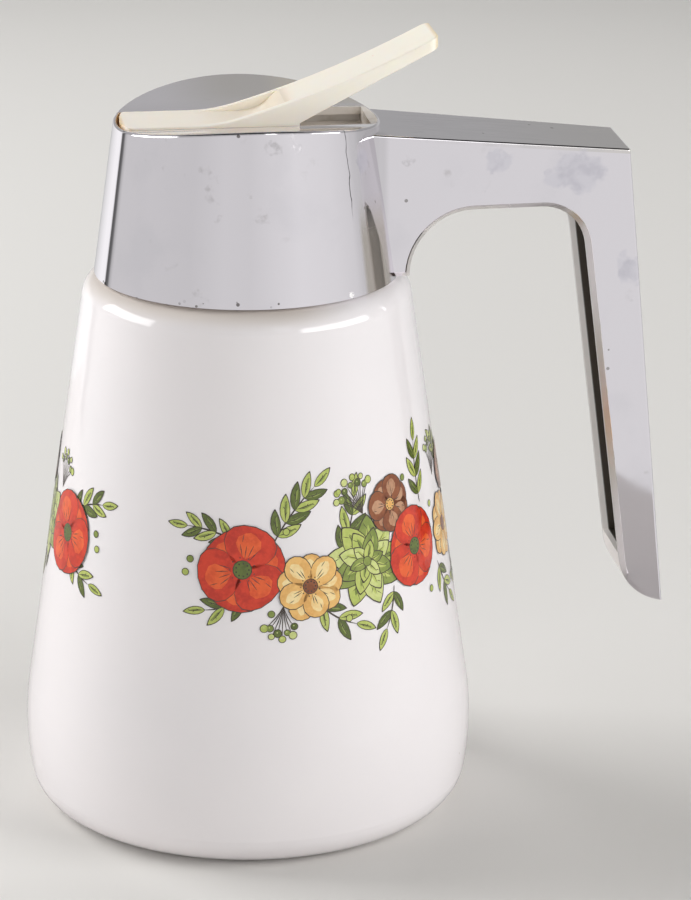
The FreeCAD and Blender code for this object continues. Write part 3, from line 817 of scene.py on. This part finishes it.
def disc(print_mesh, colour, layer, spot, radius, sides=14):
    """A round dot."""
    shape = bmesh.new()
    bmesh.ops.create_circle(shape, cap_ends=True, segments=sides, radius=radius)
    lay(shape, print_mesh, colour, layer, spot, 0)


def polar(spot, turn_deg, distance):
    """The place at a distance from a spot in a direction."""
    turn = math.radians(turn_deg)
    return (spot[0] + math.cos(turn) * distance, spot[1] + math.sin(turn) * distance)


def outlined_dot(print_mesh, colour, layer, spot, radius):
    """A dot with a thin dark rim."""
    disc(print_mesh, "line", layer, spot, radius + 0.16 * mm)
    disc(print_mesh, colour, layer + 1, spot, radius)


print("one facet is", round(math.degrees(facet / band_radius), 2), "degrees")

# %% [markdown]
# Leaves and petals are drawn the way a pen would do it: outline, flat colour, a paler or darker
# tone on one side, a midrib and a few short hatch strokes. Every stroke is a very thin blade.

# %% Leaf, spray and berries
def leaf(print_mesh, colour, layer, spot, turn_deg, length, width, bend_deg=0.0, strokes=3):
    """A leaf with its outline, a second tone, a midrib and hatch strokes."""
    shape = dict(point=0.85, belly=0.85, bend_deg=bend_deg)
    edge = 0.16 * mm
    blade(print_mesh, "line", layer, polar(spot, turn_deg, -edge), turn_deg,
          length + 3.2 * edge, width + 2 * edge, **shape)
    blade(print_mesh, colour, layer + 1, spot, turn_deg, length, width, **shape)
    tone = {"lime": "moss", "olive": "moss", "pale_lime": "lime", "moss": "lime"}[colour]
    blade(print_mesh, tone, layer + 2, spot, turn_deg - 3, length * 0.8, width * 0.30,
          bend_deg=bend_deg, start=length * 0.1, sides=10)
    blade(print_mesh, "line", layer + 3, spot, turn_deg, length * 0.82, 0.20 * mm,
          bend_deg=bend_deg * 0.8, sides=8)
    for number in range(strokes):
        along = length * (0.28 + 0.42 * number / max(strokes - 1, 1))
        side = 1 if number % 2 else -1
        root = polar(spot, turn_deg + bend_deg * along / length / 2, along)
        blade(print_mesh, "line", layer + 3, root, turn_deg + bend_deg * 0.6 + side * 38,
              width * 0.36, 0.15 * mm, sides=6)


def spray(print_mesh, layer, spot, turn_deg, length, pairs, leaf_length, bend_deg=20.0,
          colours=("lime", "olive"), width=0.36):
    """A curved stem with leaves in pairs and one at its tip."""
    blade(print_mesh, "line", layer + 3, spot, turn_deg, length, 0.34 * mm, point=0.5,
          belly=0.7, bend_deg=bend_deg, sides=24)
    bend = math.radians(bend_deg) or 1e-3
    for number in range(pairs + 1):
        share = 0.16 + 0.84 * number / pairs
        arc = bend * share
        along, aside = length / bend * math.sin(arc), length / bend * (1 - math.cos(arc))
        here = math.degrees(arc) + turn_deg
        node = polar(polar(spot, turn_deg, along), turn_deg + 90, aside)
        size = leaf_length * (1.0 - 0.28 * abs(share - 0.45))
        if number == pairs:
            leaf(print_mesh, colours[0], layer, node, here, size, size * width, -bend_deg * 0.3)
            continue
        for side in (1, -1):
            colour = colours[(number + (side > 0)) % 2]
            leaf(print_mesh, colour, layer + (4 if side > 0 else 0), node,
                 here + side * (46 - 8 * share), size, size * width, -side * 16)


def berries(print_mesh, layer, spot, turn_deg, length, count, spread_deg=95.0, size=0.72):
    """Thin stems that fan out, each with a round berry."""
    for number in range(count):
        share = number / (count - 1) - 0.5
        reach = length * (1.0 - 0.55 * share * share - 0.16 * (number % 2))
        turn = turn_deg + share * spread_deg
        blade(print_mesh, "line", layer, spot, turn_deg + share * spread_deg * 0.45, reach,
              0.20 * mm, bend_deg=share * spread_deg * 0.75, sides=12)
        end = polar(spot, turn_deg + share * spread_deg * 0.82, reach * 0.97)
        colour = ("lime", "moss", "pale_lime", "olive")[number % 4]
        outlined_dot(print_mesh, colour, layer + 1, end, (size - 0.10 * (number % 3)) * mm)
        disc(print_mesh, "pale_lime", layer + 3, polar(end, 120, 0.2 * mm), 0.16 * mm, 6)


# %% Blossom and rosette
def blossom(print_mesh, layer, spot, radius, petals, colour, light, heart,
            fat=1.0, turn_deg=0.0, point=0.6, strokes=3):
    """Outlined petals round a heart of dots. Every second petal lies over its neighbours."""
    around_deg = 360 / petals
    width = 2 * radius * math.tan(math.radians(around_deg / 2)) * fat
    width = min(width, radius * 1.25)
    edge = 0.17 * mm
    for number in sorted(range(petals), key=lambda count: count % 2):
        turn = turn_deg + number * around_deg
        raised = layer + 5 * (number % 2)
        reach = radius * (1 + 0.05 * math.sin(number * 2.4))
        form = dict(point=point, belly=1.35)
        blade(print_mesh, "line", raised, spot, turn, reach + edge, width + 2 * edge, **form)
        blade(print_mesh, colour, raised + 1, spot, turn, reach, width, **form)
        blade(print_mesh, light, raised + 2, spot, turn + 4, reach * 0.86, width * 0.50,
              point=0.8, belly=1.3, start=reach * 0.25, sides=12)
        for stroke in range(strokes):
            lean = (stroke - (strokes - 1) / 2) * around_deg * 0.20
            root = polar(spot, turn + lean, reach * (0.24 + 0.05 * (stroke % 2)))
            blade(print_mesh, "line", raised + 3, root, turn + lean * 1.5,
                  reach * (0.34 - 0.06 * abs(lean) / around_deg), 0.19 * mm, sides=6)
        root = polar(spot, turn + around_deg * 0.30, reach * 0.62)
        blade(print_mesh, "line", raised + 3, root, turn + around_deg * 0.1, reach * 0.20,
              0.16 * mm, sides=6)
    outlined_dot(print_mesh, heart, layer + 10, spot, radius * 0.21)
    for number in range(9):
        disc(print_mesh, "line", layer + 12, polar(spot, number * 40, radius * 0.15), 0.19 * mm, 6)
        disc(print_mesh, "line", layer + 12, polar(spot, number * 40 + 20, radius * 0.29),
             0.15 * mm, 6)


def rosette(print_mesh, layer, spot, radius):
    """Three rings of pointed leaves, like a house leek."""
    for ring, (count, reach, shift) in enumerate(((9, 1.0, 0), (8, 0.72, 20), (6, 0.45, 8))):
        for number in sorted(range(count), key=lambda place: place % 2):
            colour = ("lime", "pale_lime", "moss")[(number + ring) % 3]
            leaf(print_mesh, colour, layer + ring * 8 + 4 * (number % 2), spot,
                 shift + number * 360 / count, radius * reach, radius * 0.58 * reach,
                 bend_deg=10, strokes=4 if ring == 0 else 2)
    outlined_dot(print_mesh, "moss", layer + 25, spot, radius * 0.10)


# %% [markdown]
# One run of the garland, from left to right. The places are a florist's plan: big round heads
# along the middle line, sprays leaning out above and below, and berries in the gaps.

# %% Plan of one run
blossom_kinds = {
    "poppy": (("poppy", "orange", "olive"), dict(fat=1.15, point=0.5, strokes=4)),
    "marigold": (("ochre", "straw", "chestnut"), dict(fat=1.05, point=0.55, strokes=2)),
    "primrose": (("chestnut", "fawn", "ochre"), dict(fat=1.05, point=0.55, strokes=2)),
}


def garland(print_mesh):
    """Lays out one run: sprays and berries first, rosettes and blossoms over them."""
    def at_mm(*pair):
        """A place along and up the band, given in millimetres."""
        return tuple(value * mm for value in pair)

    for spot, turn_deg, length, pairs, leaf_length, bend_deg in (
        ((-43, 5), 152, 11, 3, 4.6, 26), ((-41, -6), 214, 9, 2, 4.8, -30),
        ((-36, 4), 62, 15, 4, 5.6, -24), ((-27, -8), 308, 10, 2, 5.2, 34),
        ((-22, 0), 58, 13, 3, 5.4, 22), ((-9, -8), 262, 9, 2, 5.0, -24),
        ((3, 6), 98, 13, 3, 5.2, -20), ((8, -8), 288, 10, 2, 5.4, 28),
        ((24, 5), 118, 14, 4, 5.4, 24), ((30, -6), 236, 10, 2, 5.2, -26),
        ((42, 4), 36, 12, 3, 5.0, -30), ((43, -5), 322, 9, 2, 4.8, 26),
    ):
        spray(print_mesh, 0, at_mm(*spot), turn_deg, length * mm, pairs, leaf_length * mm, bend_deg)
    for spot, turn_deg, length, count, spread_deg in (
        ((-15.5, 8), 112, 8.5, 11, 95), ((-34, -8), 262, 7.0, 8, 80), ((12, 9), 76, 9.0, 11, 95),
        ((35, 7), 84, 8.0, 9, 95), ((20, -9), 275, 7.5, 9, 85),
    ):
        berries(print_mesh, 8, at_mm(*spot), turn_deg, length * mm, count, spread_deg)
    rosette(print_mesh, 14, at_mm(-15.5, -1.5), 9.2 * mm)
    rosette(print_mesh, 14, at_mm(27.5, -1.0), 8.8 * mm)
    for kind, layer, spot, radius, petals, turn_deg in (
        ("poppy", 42, (-42, -0.5), 8.6, 6, 12), ("marigold", 56, (-28.5, -4.5), 6.8, 9, 5),
        ("primrose", 42, (-8, 8.6), 5.8, 7, 20), ("poppy", 56, (-1.5, -1.8), 8.0, 6, 40),
        ("marigold", 42, (14.5, -2), 7.0, 10, 0), ("primrose", 42, (20.5, 9), 5.4, 7, 33),
        ("poppy", 56, (41.5, -0.5), 8.4, 6, 50),
    ):
        colours, form = blossom_kinds[kind]
        blossom(print_mesh, layer, at_mm(*spot), radius * mm, petals, *colours,
                turn_deg=turn_deg, **form)
    for spot, colour in (((-53.5, -1.5), "lime"), ((-52.6, 1.2), "moss"), ((-33.0, 6.8), "lime"),
                         ((-36.4, -9.6), "moss"), ((-21.5, 13.2), "lime"), ((-2.8, 12.8), "moss"),
                         ((-20.6, -12.2), "lime"), ((7.6, 4.4), "lime"), ((33.6, 4.2), "moss"),
                         ((52.5, -1.0), "lime"), ((51.8, 2.0), "moss"), ((3.4, -12.4), "lime")):
        outlined_dot(print_mesh, colour, 8, at_mm(*spot), 0.62 * mm)


# %% [markdown]
# Wrapping: a point's distance along the band becomes a turn round the jar, and its height a
# place on the cone. Between two facet lines it follows the straight chord, so layers that are
# a few thousandths of a millimetre apart stay parallel. The shading normals are the true cone's.

# %% Wrap on the glass
def wrap(name, centre_deg):
    """Makes one run of the garland and wraps it round the jar."""
    print_mesh = bmesh.new()
    garland(print_mesh)
    normals = []
    for vert in print_mesh.verts:
        along, up, lift = vert.co
        radius = band_radius + up * band_slope + lift + above_glass
        cell = math.floor(along / facet + 1e-4)
        share = along / facet - cell
        first = math.radians(centre_deg) + cell * facet / band_radius
        second = first + facet / band_radius
        turn = first + share * (second - first)
        side = Vector((math.cos(first), math.sin(first), 0)).lerp(
            Vector((math.cos(second), math.sin(second), 0)), share)
        vert.co = side * radius + Vector((0, 0, band_middle + up))
        normals.append(Vector((math.cos(turn), math.sin(turn), -band_slope)).normalized())
    mesh = bpy.data.meshes.new(name)
    print_mesh.to_mesh(mesh)
    print_mesh.free()
    for colour in ink_order:
        mesh.materials.append(inks[colour])
    mesh.polygons.foreach_set("use_smooth", [True] * len(mesh.polygons))
    mesh.normals_split_custom_set_from_vertices(normals)
    piece = bpy.data.objects.new(name, mesh)
    scene.collection.objects.link(piece)
    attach(piece, "pitcher")
    print(name, len(mesh.polygons), "faces", len(mesh.vertices), "points")


wrap("garland_front", -39)
wrap("garland_back", 141)
